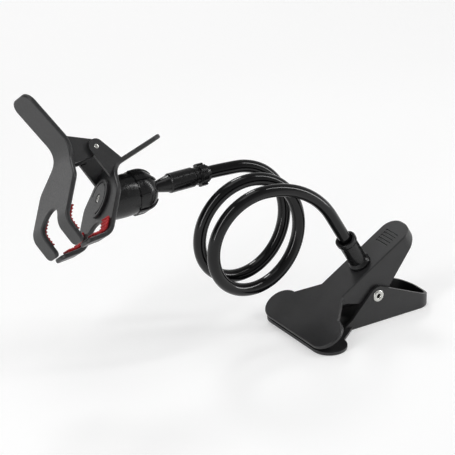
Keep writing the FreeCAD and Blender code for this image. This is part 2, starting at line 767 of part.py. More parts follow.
disc_foot = Vec(swivel_x, 0, spigot_top)
disc_shape = Part.makeCylinder(disc_radius, disc_thickness, disc_foot, swivel_up)
disc_top = disc_foot + swivel_up * disc_thickness
groove_low = disc_top - swivel_up * disc_groove_depth
groove_outer = disc_groove_radius + disc_groove_width / 2
groove_inner = disc_groove_radius - disc_groove_width / 2
groove = Part.makeCylinder(groove_outer, disc_thickness, groove_low, swivel_up, disc_groove_sweep)
groove = groove.cut(Part.makeCylinder(groove_inner, disc_thickness, groove_low, swivel_up))
head_low = disc_top - swivel_up * swivel_head_height
head_seat = Part.makeCylinder(swivel_head_radius + ear_clearance, disc_thickness, head_low, swivel_up)
disc_shape = disc_shape.cut([groove, swivel_hole, head_seat])
swivel_profile = [
    (0, -swivel_screw_length),
    (swivel_screw_radius, -swivel_screw_length),
    (swivel_screw_radius, -swivel_head_height),
    (swivel_head_radius, -swivel_head_height),
    (swivel_head_radius, 0),
    (0, 0),
]
swivel_screw_shape = revolved(swivel_profile, screw_top, swivel_up)

# The clip goes on the ball with its socket in line with the stud
down = Vec(0, -math.cos(turn), -math.sin(turn))
clip_x = stem * -math.sin(lean) + down * math.cos(lean)
clip_z = stem * -math.cos(lean) - down * math.sin(lean)
clip_rotation = FreeCAD.Rotation(clip_x, clip_z.cross(clip_x), clip_z, "XZY")
clip_place = FreeCAD.Placement(ball_centre - clip_rotation.multVec(socket_ball), clip_rotation)


def on_ball(shape):
    """Moves a clip shape from its own frame to its place on the ball."""
    placed = shape.copy()
    placed.Placement = clip_place.multiply(placed.Placement)
    return placed


nodes = {
    "clamp_lower_jaw": clamp_lower_jaw,
    "clamp_upper_jaw": clamp_upper_jaw,
    "clamp_lower_pad": clamp_lower_pad,
    "clamp_upper_pad": clamp_upper_pad,
    "clamp_rivet": clamp_rivet,
    "clamp_spring": clamp_spring,
    "arm_sleeve": arm_sleeve,
    "arm_screw": arm_screw,
    "gooseneck_core": gooseneck_core,
    "gooseneck_sheath": gooseneck_sheath,
    "stud_ring": stud_ring,
    "ball_stud": ball_stud,
    "socket_nut": on_ball(nut_shape),
    "socket_dome": on_ball(dome_shape),
    "swivel_disc": on_ball(disc_shape),
    "swivel_screw": on_ball(swivel_screw_shape),
    "clip_lower_jaw": on_ball(lower_jaw_shape),
    "clip_upper_jaw": on_ball(upper_jaw_shape),
    "clip_pin": on_ball(pin_shape),
    "clip_spring": on_ball(spring_shape),
    "clip_lower_pad_left": on_ball(flipped(clip_pad(-1))),
    "clip_lower_pad_right": on_ball(flipped(clip_pad(1))),
    "clip_upper_pad_left": on_ball(clip_pad(-1)),
    "clip_upper_pad_right": on_ball(clip_pad(1)),
}
os.makedirs("parts", exist_ok=True)
for node, shape in nodes.items():
    shape.exportStep("parts/" + node + ".step")
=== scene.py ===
"""A desk phone stand.

It has a sprung table clamp, a bendable arm wound in a coil and a phone clip on a ball joint.
"""
import logging
import math
from contextlib import contextmanager
from dataclasses import dataclass, field
from enum import Enum
from typing import Any, Callable, ClassVar, Iterator, Sequence

import bpy
from mathutils import Matrix, Vector


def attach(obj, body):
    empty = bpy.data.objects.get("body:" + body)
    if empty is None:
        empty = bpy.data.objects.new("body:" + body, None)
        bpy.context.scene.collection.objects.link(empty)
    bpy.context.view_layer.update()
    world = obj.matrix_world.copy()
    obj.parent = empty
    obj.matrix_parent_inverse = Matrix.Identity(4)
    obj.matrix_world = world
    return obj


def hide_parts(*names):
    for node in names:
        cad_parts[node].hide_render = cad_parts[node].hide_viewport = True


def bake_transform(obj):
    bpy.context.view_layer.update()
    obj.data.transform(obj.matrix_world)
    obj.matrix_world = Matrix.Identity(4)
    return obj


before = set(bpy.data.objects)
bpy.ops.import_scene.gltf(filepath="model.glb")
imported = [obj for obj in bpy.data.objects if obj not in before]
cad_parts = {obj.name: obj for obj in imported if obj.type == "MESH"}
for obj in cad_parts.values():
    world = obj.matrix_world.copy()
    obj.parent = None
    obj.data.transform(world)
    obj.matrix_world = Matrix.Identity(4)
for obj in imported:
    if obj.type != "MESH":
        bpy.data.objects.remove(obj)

logging.basicConfig(level=logging.INFO, format="%(name)s: %(message)s")
log = logging.getLogger("phone_stand")

MM = 0.001
MERGE_DISTANCE = 0.01 * MM
SEAM_DISTANCE = 0.002 * MM
SMOOTH_ANGLE = math.radians(38)
# The clip's own frame on the ball: hinge pin on Y, fingers towards X, upper jaw towards Z.
CLIP_PLACE = Matrix((
    (-0.529919, 0.0, -0.848048, -0.185113),
    (-0.510368, -0.798636, 0.318913, 0.0654558),
    (-0.677281, 0.601815, 0.423212, 0.146809),
    (0.0, 0.0, 0.0, 1.0),
))


class Body(Enum):
    """The moving parts that carry modelled pieces, by the names that the frame gives them."""

    CLAMP_BASE = "clamp_base"
    CLAMP_TOP = "clamp_top"
    SOCKET = "socket"
    CLIP_BASE = "clip_base"
    CLIP_TOP = "clip_top"


class Slot(Enum):
    """Names of material slots; nothing in this script uses them."""

    RED_RUBBER = "red_rubber"
    BLACK_RUBBER = "black_rubber"
    STEEL = "nickel_steel"


def linear(hex_colour: str) -> tuple[float, float, float, float]:
    """Turns an sRGB hex colour into a linear one.

    Args:
        hex_colour: Six hex digits after a hash.

    Returns:
        Red, green, blue and an alpha of 1.
    """
    parts = [int(hex_colour[i:i + 2], 16) / 255 for i in (1, 3, 5)]
    red, green, blue = [c / 12.92 if c <= 0.04045 else ((c + 0.055) / 1.055) ** 2.4 for c in parts]
    return red, green, blue, 1.0


def per_metre(size_mm: float) -> float:
    """Gives the texture scale whose features have a set size.

    Args:
        size_mm: The features' size in millimetres.

    Returns:
        The scale, for coordinates in metres.
    """
    return 1.0 / (size_mm * MM)


def add_node(
    tree: bpy.types.NodeTree,
    kind: str,
    settings: dict[str, Any] | None = None,
    inputs: dict[str, Any] | None = None,
) -> bpy.types.Node:
    """Adds a shader node, sets it and links it.

    Args:
        tree: The material's or world's node tree.
        kind: The node's type name.
        settings: Properties of the node itself.
        inputs: Values for its sockets by name or number, where an output socket is linked.

    Returns:
        The new node.
    """
    node = tree.nodes.new(kind)
    for key, value in (settings or {}).items():
        setattr(node, key, value)
    for key, value in (inputs or {}).items():
        if isinstance(value, bpy.types.NodeSocket):
            tree.links.new(value, node.inputs[key])
        else:
            node.inputs[key].default_value = value
    return node


def new_tree(name: str) -> tuple[bpy.types.Material, bpy.types.NodeTree]:
    """Makes an empty node material.

    Args:
        name: The material's name.

    Returns:
        The material and its node tree.
    """
    material = bpy.data.materials.new(name)
    material.use_nodes = True
    material.node_tree.nodes.clear()
    return material, material.node_tree


def add_ramp(
    tree: bpy.types.NodeTree,
    value: bpy.types.NodeSocket,
    stops: Sequence[tuple[float, str]],
) -> bpy.types.Node:
    """Adds a colour ramp that a value drives.

    Args:
        tree: The material's or world's node tree.
        value: The output socket that drives it.
        stops: The position and hex colour of each stop, from low to high.

    Returns:
        The ramp node.
    """
    ramp = add_node(tree, "ShaderNodeValToRGB", inputs={"Fac": value})
    elements = ramp.color_ramp.elements
    for position, _ in stops[1:-1]:
        elements.new(position)
    for element, (position, colour) in zip(elements, stops):
        element.position = position
        element.color = linear(colour)
    return ramp


def add_noise(
    tree: bpy.types.NodeTree,
    place: bpy.types.NodeSocket,
    size_mm: float,
    detail: float,
) -> bpy.types.Node:
    """Adds a noise texture.

    Args:
        tree: The material's node tree.
        place: The coordinates.
        size_mm: The size of its features, in millimetres.
        detail: How many finer layers it has.

    Returns:
        The texture node.
    """
    inputs = {"Vector": place, "Scale": per_metre(size_mm), "Detail": detail}
    return add_node(tree, "ShaderNodeTexNoise", inputs=inputs)


def close_surface(tree: bpy.types.NodeTree, inputs: dict[str, Any]) -> None:
    """Adds the surface shader and links it to the material's output.

    Args:
        tree: The material's node tree.
        inputs: The shader's values and links.
    """
    shader = add_node(tree, "ShaderNodeBsdfPrincipled", inputs=inputs)
    add_node(tree, "ShaderNodeOutputMaterial", inputs={"Surface": shader.outputs["BSDF"]})


@dataclass(frozen=True)
class MouldedPlastic:
    """Moulded or extruded plastic: a fine grain over slow flow marks in tone and gloss."""

    name: str
    colour: str
    bloom: str
    roughness: float
    rough_swing: float
    specular: float
    grain_mm: float
    grain_depth_mm: float
    flow_mm: float
    speckle: float
    tone_range: ClassVar[tuple[float, float]] = (0.32, 0.74)
    gloss_range: ClassVar[tuple[float, float]] = (0.3, 0.7)
    flow_detail: ClassVar[float] = 3.0
    grain_detail: ClassVar[float] = 2.0
    refraction: ClassVar[float] = 1.53

    def material(self) -> bpy.types.Material:
        """Builds the node material.

        Returns:
            The material.
        """
        material, tree = new_tree(self.name)
        place = add_node(tree, "ShaderNodeTexCoord").outputs["Object"]
        flow = add_noise(tree, place, self.flow_mm, self.flow_detail)
        grain = add_noise(tree, place, self.grain_mm, self.grain_detail)
        mottle = add_node(
            tree, "ShaderNodeMix", {"data_type": "FLOAT"},
            {0: self.speckle, 2: flow.outputs["Fac"], 3: grain.outputs["Fac"]},
        )
        tone = add_ramp(tree, mottle.outputs[0], tuple(zip(self.tone_range, (self.colour, self.bloom))))
        gloss = add_node(
            tree, "ShaderNodeMapRange",
            inputs={
                "Value": grain.outputs["Fac"],
                "From Min": self.gloss_range[0],
                "From Max": self.gloss_range[1],
                "To Min": self.roughness - self.rough_swing,
                "To Max": self.roughness + self.rough_swing,
            },
        )
        relief = add_node(
            tree, "ShaderNodeBump",
            inputs={
                "Height": grain.outputs["Fac"],
                "Strength": 1.0,
                "Distance": self.grain_depth_mm * MM,
            },
        )
        close_surface(tree, {
            "Base Color": tone.outputs["Color"],
            "Roughness": gloss.outputs["Result"],
            "Normal": relief.outputs["Normal"],
            "Specular IOR Level": self.specular,
            "IOR": self.refraction,
        })
        return material


@dataclass(frozen=True)
class MouldedRubber:
    """Moulded rubber: matt, softly mottled, with a fine skin and pale dust on the high spots."""

    name: str
    colour: str
    dust: str
    roughness: float
    skin_mm: float
    skin_depth_mm: float
    mottle_mm: float
    tone_range: ClassVar[tuple[float, float]] = (0.3, 0.78)
    mottle_detail: ClassVar[float] = 4.0
    rough_swing: ClassVar[float] = 0.08
    skin_strength: ClassVar[float] = 0.8
    specular: ClassVar[float] = 0.35
    refraction: ClassVar[float] = 1.5

    def material(self) -> bpy.types.Material:
        """Builds the node material.

        Returns:
            The material.
        """
        material, tree = new_tree(self.name)
        place = add_node(tree, "ShaderNodeTexCoord").outputs["Object"]
        mottle = add_noise(tree, place, self.mottle_mm, self.mottle_detail)
        skin = add_node(
            tree, "ShaderNodeTexVoronoi",
            inputs={"Vector": place, "Scale": per_metre(self.skin_mm)},
        )
        tone = add_ramp(tree, mottle.outputs["Fac"], tuple(zip(self.tone_range, (self.colour, self.dust))))
        gloss = add_node(
            tree, "ShaderNodeMapRange",
            inputs={
                "Value": mottle.outputs["Fac"],
                "To Min": self.roughness - self.rough_swing,
                "To Max": self.roughness + self.rough_swing,
            },
        )
        relief = add_node(
            tree, "ShaderNodeBump",
            inputs={
                "Height": skin.outputs["Distance"],
                "Strength": self.skin_strength,
                "Distance": self.skin_depth_mm * MM,
            },
        )
        close_surface(tree, {
            "Base Color": tone.outputs["Color"],
            "Roughness": gloss.outputs["Result"],
            "Normal": relief.outputs["Normal"],
            "Specular IOR Level": self.specular,
            "IOR": self.refraction,
        })
        return material


@dataclass(frozen=True)
class BareMetal:
    """Plated, drawn or turned metal: fine lines stretched along one axis, with a cloudy polish."""

    name: str
    colour: str
    shade: str
    roughness: float
    line_mm: float
    line_stretch: tuple[float, float, float]
    line_depth_mm: float
    tone_range: ClassVar[tuple[float, float]] = (0.3, 0.65)
    line_detail: ClassVar[float] = 3.0
    line_strength: ClassVar[float] = 0.6
    rougher: ClassVar[float] = 0.1
    smoother: ClassVar[float] = 0.06

    def material(self) -> bpy.types.Material:
        """Builds the node material.

        Returns:
            The material.
        """
        material, tree = new_tree(self.name)
        place = add_node(tree, "ShaderNodeTexCoord")
        along = add_node(
            tree, "ShaderNodeMapping",
            inputs={"Vector": place.outputs["Object"], "Scale": self.line_stretch},
        )
        lines = add_noise(tree, along.outputs["Vector"], self.line_mm, self.line_detail)
        tone = add_ramp(tree, lines.outputs["Fac"], tuple(zip(self.tone_range, (self.shade, self.colour))))
        gloss = add_node(
            tree, "ShaderNodeMapRange",
            inputs={
                "Value": lines.outputs["Fac"],
                "To Min": self.roughness + self.rougher,
                "To Max": self.roughness - self.smoother,
            },
        )
        relief = add_node(
            tree, "ShaderNodeBump",
            inputs={
                "Height": lines.outputs["Fac"],
                "Strength": self.line_strength,
                "Distance": self.line_depth_mm * MM,
            },
        )
        close_surface(tree, {
            "Base Color": tone.outputs["Color"],
            "Metallic": 1.0,
            "Roughness": gloss.outputs["Result"],
            "Normal": relief.outputs["Normal"],
        })
        return material


# ABS moulded in a spark-eroded tool: charcoal black, an even satin with a fine grain.
# The real grain is about 0.1 mm; it is drawn at 0.9 mm so that it shows.
SATIN_ABS = MouldedPlastic(
    name="satin_moulded_abs",
    colour="#181819",
    bloom="#2a2a2b",
    roughness=0.4,
    rough_swing=0.08,
    specular=0.42,
    grain_mm=0.9,
    grain_depth_mm=0.05,
    flow_mm=22.0,
    speckle=0.5,
)
# ABS moulded in a polished tool: deep black with soft broad highlights.
POLISHED_ABS = MouldedPlastic(
    name="polished_moulded_abs",
    colour="#0a0a0b",
    bloom="#111112",
    roughness=0.24,
    rough_swing=0.05,
    specular=0.34,
    grain_mm=2.2,
    grain_depth_mm=0.02,
    flow_mm=18.0,
    speckle=0.3,
)
# Soft PVC drawn over the wire core: wet black gloss, with the slow ripple of an extruded skin.
GLOSS_PVC = MouldedPlastic(
    name="gloss_extruded_pvc",
    colour="#060607",
    bloom="#0b0b0c",
    roughness=0.12,
    rough_swing=0.03,
    specular=0.3,
    grain_mm=5.0,
    grain_depth_mm=0.03,
    flow_mm=30.0,
    speckle=0.2,
)
# Silicone rubber moulded in red: matt and slightly chalky on top of the bumps.
RED_RUBBER = MouldedRubber(
    name="red_silicone_rubber",
    colour="#a31f24",
    dust="#c23a3c",
    roughness=0.55,
    skin_mm=0.5,
    skin_depth_mm=0.05,
    mottle_mm=3.0,
)
# Nitrile rubber: a dull, dusty black.
BLACK_RUBBER = MouldedRubber(
    name="black_nitrile_rubber",
    colour="#161617",
    dust="#262627",
    roughness=0.8,
    skin_mm=0.6,
    skin_depth_mm=0.06,
    mottle_mm=5.0,
)
# Nickel plate on turned steel: bright, with fine rings from turning drawn as lines across the axis.
NICKEL_STEEL = BareMetal(
    name="nickel_plated_steel",
    colour="#d6d6d2",
    shade="#b4b4b0",
    roughness=0.24,
    line_mm=1.2,
    line_stretch=(1.0, 4.0, 1.0),
    line_depth_mm=0.01,
)
# Drawn spring wire: greyer, with faint die lines.
SPRING_STEEL = BareMetal(
    name="drawn_spring_steel",
    colour="#b9b9b6",
    shade="#8b8b89",
    roughness=0.3,
    line_mm=0.8,
    line_stretch=(1.0, 0.3, 1.0),
    line_depth_mm=0.01,
)
# Dead-soft aluminium wire inside the arm: pale and dull.
SOFT_ALUMINIUM = BareMetal(
    name="soft_aluminium_wire",
    colour="#c9cacb",
    shade="#a7a8a9",
    roughness=0.42,
    line_mm=1.0,
    line_stretch=(0.3, 1.0, 1.0),
    line_depth_mm=0.01,
)


def dress(piece: bpy.types.Object, material: bpy.types.Material) -> None:
    """Puts one material on every slot of a piece.

    Args:
        piece: The mesh object.
        material: Its finish.
    """
    if not piece.data.materials:
        piece.data.materials.append(material)
    for holder in piece.material_slots:
        holder.material = material


def deselect() -> None:
    """Clears the selection and leaves edit mode."""
    if bpy.context.object and bpy.context.object.mode != "OBJECT":
        bpy.ops.object.mode_set(mode="OBJECT")
    bpy.ops.object.select_all(action="DESELECT")


def take(piece: bpy.types.Object) -> None:
    """Selects one object alone and makes it active.

    Args:
        piece: The object.
    """
    deselect()
    piece.select_set(True)
    bpy.context.view_layer.objects.active = piece


@contextmanager
def editing(piece: bpy.types.Object, mode: str = "VERT") -> Iterator[None]:
    """Opens a piece in edit mode with all of it selected.

    Args:
        piece: The mesh object.
        mode: VERT, EDGE or FACE.
    """
    take(piece)
    bpy.ops.object.mode_set(mode="EDIT")
    bpy.ops.mesh.select_mode(type=mode)
    bpy.ops.mesh.select_all(action="SELECT")
    yield
    bpy.ops.object.mode_set(mode="OBJECT")


def solid_copy(node: str, name: str) -> bpy.types.Object:
    """Copies a CAD node's mesh into a piece of its own and merges its loose triangles.

    Args:
        node: The node's name.
        name: The new piece's name.

    Returns:
        The copy, free of the frame.
    """
    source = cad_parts[node]
    piece = bpy.data.objects.new(name, source.data.copy())
    piece.data.name = name
    bpy.context.scene.collection.objects.link(piece)
    with editing(piece):
        bpy.ops.mesh.remove_doubles(threshold=MERGE_DISTANCE)
    return piece


def pick_faces(piece: bpy.types.Object, wanted: Callable[[bpy.types.MeshPolygon], bool]) -> None:
    """Selects faces in edit mode.

    Args:
        piece: The mesh object, open in edit mode.
        wanted: Says whether a face is selected.
    """
    bpy.ops.mesh.select_mode(type="FACE")
    bpy.ops.mesh.select_all(action="DESELECT")
    bpy.ops.object.mode_set(mode="OBJECT")
    for face in piece.data.polygons:
        face.select = wanted(face)
    bpy.ops.object.mode_set(mode="EDIT")


def pick_points(piece: bpy.types.Object, wanted: Callable[[Vector], bool]) -> None:
    """Selects vertices in edit mode, with the edges between them.

    Args:
        piece: The mesh object, open in edit mode.
        wanted: Says whether a place is selected.
    """
    bpy.ops.mesh.select_mode(type="VERT")
    bpy.ops.mesh.select_all(action="DESELECT")
    bpy.ops.object.mode_set(mode="OBJECT")
    for point in piece.data.vertices:
        point.select = wanted(point.co)
    bpy.ops.object.mode_set(mode="EDIT")


def apply_modifier(piece: bpy.types.Object, kind: str, settings: dict[str, Any]) -> None:
    """Adds a modifier to a piece and applies it.

    Args:
        piece: The mesh object.
        kind: The modifier's type name.
        settings: Its properties.
    """
    take(piece)
    modifier = piece.modifiers.new(kind.lower(), kind)
    for key, value in settings.items():
        setattr(modifier, key, value)
    bpy.ops.object.modifier_apply(modifier=modifier.name)


def settle(piece: bpy.types.Object, place: Matrix) -> None:
    """Moves a piece to its place and leaves the place in its mesh.

    Args:
        piece: The mesh object.
        place: Its place in the row frame, in metres.
    """
    take(piece)
    piece.matrix_world = place
    bpy.ops.object.transform_apply(location=True, rotation=True, scale=True)
    with editing(piece):
        bpy.ops.mesh.normals_make_consistent(inside=False)
    bpy.ops.object.shade_smooth_by_angle(angle=SMOOTH_ANGLE)


def turned(name: str, profile: Sequence[tuple[float, float]], steps: int) -> bpy.types.Object:
    """Turns a piece from its profile, as on a lathe.

    Args:
        name: The piece's name.
        profile: Radius and height pairs along the outline, in millimetres.
        steps: How many faces go round.

    Returns:
        The closed piece, with its axis on Z.
    """
    points = [Vector((radius, 0.0, height)) * MM for radius, height in profile]
    deselect()
    bpy.ops.mesh.primitive_plane_add(size=MM)
    piece = bpy.context.object
    piece.name = piece.data.name = name
    with editing(piece):
        bpy.ops.mesh.merge(type="CENTER")
        bpy.ops.transform.translate(value=points[0])
        for last, point in zip(points, points[1:]):
            bpy.ops.mesh.extrude_vertices_move(TRANSFORM_OT_translate={"value": point - last})
        bpy.ops.mesh.select_all(action="SELECT")
        bpy.ops.mesh.spin(steps=steps, angle=2 * math.pi, center=(0, 0, 0), axis=(0, 0, 1))
        bpy.ops.mesh.select_all(action="SELECT")
        bpy.ops.mesh.remove_doubles(threshold=SEAM_DISTANCE)
        bpy.ops.mesh.normals_make_consistent(inside=False)
    return piece


@dataclass
class CrossScrew:
    """A pan-headed screw with a cross recess, its head's top at the origin and facing +Z."""

    head_radius: float
    head_height: float
    shank_radius: float
    shank_length: float
    recess_length: float
    recess_width: float
    recess_depth: float
    sides: int = 40
    # The pan head's curve from its top to its edge: shares of its radius and of its height.
    head_curve: ClassVar[tuple[tuple[float, float], ...]] = (
        (0.0, 0.0), (0.55, 0.03), (0.8, 0.16), (0.94, 0.38), (1.0, 0.66), (1.0, 1.0),
    )

    def build(self, name: str) -> bpy.types.Object:
        """Turns the screw and cuts its recess.

        Args:
            name: The piece's name.

        Returns:
            The screw.
        """
        radius = self.head_radius
        height = self.head_height
        low = -height - self.shank_length
        head = [(share * radius, -drop * height) for share, drop in self.head_curve]
        shank = [
            (self.shank_radius, -height),
            (self.shank_radius, low + self.shank_radius / 2),
            (self.shank_radius / 2, low),
            (0.0, low),
        ]
        piece = turned(name, head + shank, self.sides)
        for quarter in (0.0, math.pi / 2):
            deselect()
            bpy.ops.mesh.primitive_cube_add(size=1.0, rotation=(0.0, 0.0, quarter))
            cutter = bpy.context.object
            cutter.scale = Vector((self.recess_length, self.recess_width, 2 * self.recess_depth)) * MM
            bpy.ops.object.transform_apply(location=True, rotation=True, scale=True)
            apply_modifier(
                piece, "BOOLEAN",
                {"operation": "DIFFERENCE", "solver": "EXACT", "object": cutter},
            )
            bpy.data.objects.remove(cutter)
        return piece


@dataclass
class TableClamp:
    """The sprung clamp that grips the desk's edge."""

    pivot_height: float = 21.0
    spring_half_span: float = 5.0
    rivet_half: float = 14.8
    rivet_head: float = 1.0
    rivet_head_radius: float = 4.4
    rivet_radius: float = 2.5
    rivet_bore: float = 1.5
    rivet_sides: int = 48
    pad_edge_round: float = 0.35
    pad_edge_steps: int = 3
    pad_flat_angle: float = 1.0
    # The rolled end's curve: steps out from the bore, then in from the rim, with shares of its height.
    roll_from_bore: ClassVar[tuple[tuple[float, float], ...]] = (
        (0.0, 0.0), (0.15, 0.6), (0.5, 0.88), (1.0, 1.0),
    )
    roll_to_rim: ClassVar[tuple[tuple[float, float], ...]] = (
        (1.0, 1.0), (0.4, 0.78), (0.08, 0.45), (0.0, 0.1), (0.1, 0.0),
    )

    def dress_solids(self, finishes: dict[str, bpy.types.Material]) -> None:
        """Gives the clamp's moulded jaws their finish.

        Args:
            finishes: Every finish by its short name.
        """
        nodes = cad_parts
        for name in ("clamp_lower_jaw", "clamp_upper_jaw"):
            dress(nodes[name], finishes["satin"])

    def rivet(self, finish: bpy.types.Material) -> bpy.types.Object:
        """Makes the hollow rivet, both ends rolled over the ears.

        Args:
            finish: The plated steel.

        Returns:
            The rivet.
        """
        inner = self.rivet_half
        roll = [
            (self.rivet_bore + out, inner + share * self.rivet_head)
            for out, share in self.roll_from_bore
        ]
        roll += [
            (self.rivet_head_radius - back, inner + share * self.rivet_head)
            for back, share in self.roll_to_rim
        ]
        roll.append((self.rivet_radius, inner))
        profile = roll + [(radius, -height) for radius, height in reversed(roll)]
        piece = turned("clamp_hollow_rivet", profile + profile[:1], self.rivet_sides)
        place = Matrix.Translation((0, 0, self.pivot_height * MM)) @ Matrix.Rotation(math.pi / 2, 4, "X")
        settle(piece, place)
        dress(piece, finish)
        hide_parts("clamp_rivet")
        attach(piece, Body.CLAMP_BASE.value)
        return piece

    def pad(self, jaw: str, body: Body, finish: bpy.types.Material) -> bpy.types.Object:
        """Makes a jaw's rubber pad with softened edges and grooves.

        Args:
            jaw: lower or upper.
            body: The moving part that carries it.
            finish: The rubber.

        Returns:
            The pad.
        """
        piece = solid_copy(f"clamp_{jaw}_pad", f"clamp_{jaw}_rubber")
        with editing(piece):
            bpy.ops.mesh.dissolve_limited(angle_limit=math.radians(self.pad_flat_angle))
        apply_modifier(
            piece, "BEVEL",
            {"width": self.pad_edge_round * MM, "segments": self.pad_edge_steps, "limit_method": "ANGLE"},
        )
        settle(piece, Matrix.Identity(4))
        dress(piece, finish)
        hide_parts(f"clamp_{jaw}_pad")
        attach(piece, body.value)
        return piece

    def spring(self, finish: bpy.types.Material) -> bpy.types.Object:
        """Makes the coil spring on the rivet from a copy of its solid.

        Args:
            finish: The spring wire's material.

        Returns:
            The spring.
        """
        piece = solid_copy("clamp_spring", "clamp_coil_spring")
        dress(piece, finish)
        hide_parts("clamp_spring")
        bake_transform(piece)
        return piece


@dataclass
class BendableArm:
    """The wire-cored arm with its sleeve on the clamp and its ball stud."""

    foot: tuple[float, float, float] = (-5.6728, 0.0, 42.0907)
    foot_tilt: float = -31.0
    plate: float = 2.6
    screw: CrossScrew = field(default_factory=lambda: CrossScrew(
        head_radius=4.0,
        head_height=2.4,
        shank_radius=2.0,
        shank_length=14.6,
        recess_length=4.6,
        recess_width=1.0,
        recess_depth=1.4,
    ))

    def dress_solids(self, finishes: dict[str, bpy.types.Material]) -> None:
        """Gives the arm's solids their finishes.

        Args:
            finishes: Every finish by its short name.
        """
        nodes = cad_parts
        dress(nodes["gooseneck_sheath"], finishes["pvc"])
        dress(nodes["gooseneck_core"], finishes["aluminium"])
        for name in ("arm_sleeve", "stud_ring", "ball_stud"):
            dress(nodes[name], finishes["polished"])

    def foot_screw(self, finish: bpy.types.Material) -> bpy.types.Object:
        """Makes the screw that holds the sleeve to the clamp from inside.

        Args:
            finish: The plated steel.

        Returns:
            The screw.
        """
        piece = self.screw.build("arm_foot_screw")
        lean = Matrix.Rotation(math.radians(self.foot_tilt), 4, "Y")
        drop = Matrix.Translation((0, 0, -(self.plate + self.screw.head_height) * MM))
        upside_down = Matrix.Rotation(math.pi, 4, "X")
        settle(piece, Matrix.Translation(Vector(self.foot) * MM) @ lean @ drop @ upside_down)
        dress(piece, finish)
        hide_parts("arm_screw")
        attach(piece, Body.CLAMP_TOP.value)
        return piece


@dataclass
class BallSocket:
    """The socket and nut that hold the ball under the clip."""

    screw_top: tuple[float, float, float] = (30.0, 0.0, -12.6)
    screw: CrossScrew = field(default_factory=lambda: CrossScrew(
        head_radius=2.9,
        head_height=1.0,
        shank_radius=1.5,
        shank_length=8.0,
        recess_length=3.4,
        recess_width=0.8,
        recess_depth=0.7,
    ))

    def dress_solids(self, finishes: dict[str, bpy.types.Material]) -> None:
        """Gives the socket's solids their finishes.

        Args:
            finishes: Every finish by its short name.
        """
        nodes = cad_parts
        for name in ("socket_dome", "socket_nut"):
            dress(nodes[name], finishes["polished"])
        dress(nodes["swivel_disc"], finishes["satin"])

    def swivel_screw(self, finish: bpy.types.Material) -> bpy.types.Object:
        """Makes the screw that holds the swivel disc on the socket.

        Args:
            finish: The plated steel.

        Returns:
            The screw.
        """
        piece = self.screw.build("swivel_cross_screw")
        settle(piece, CLIP_PLACE @ Matrix.Translation(Vector(self.screw_top) * MM))
        dress(piece, finish)
        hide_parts("swivel_screw")
        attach(piece, Body.SOCKET.value)
        return piece


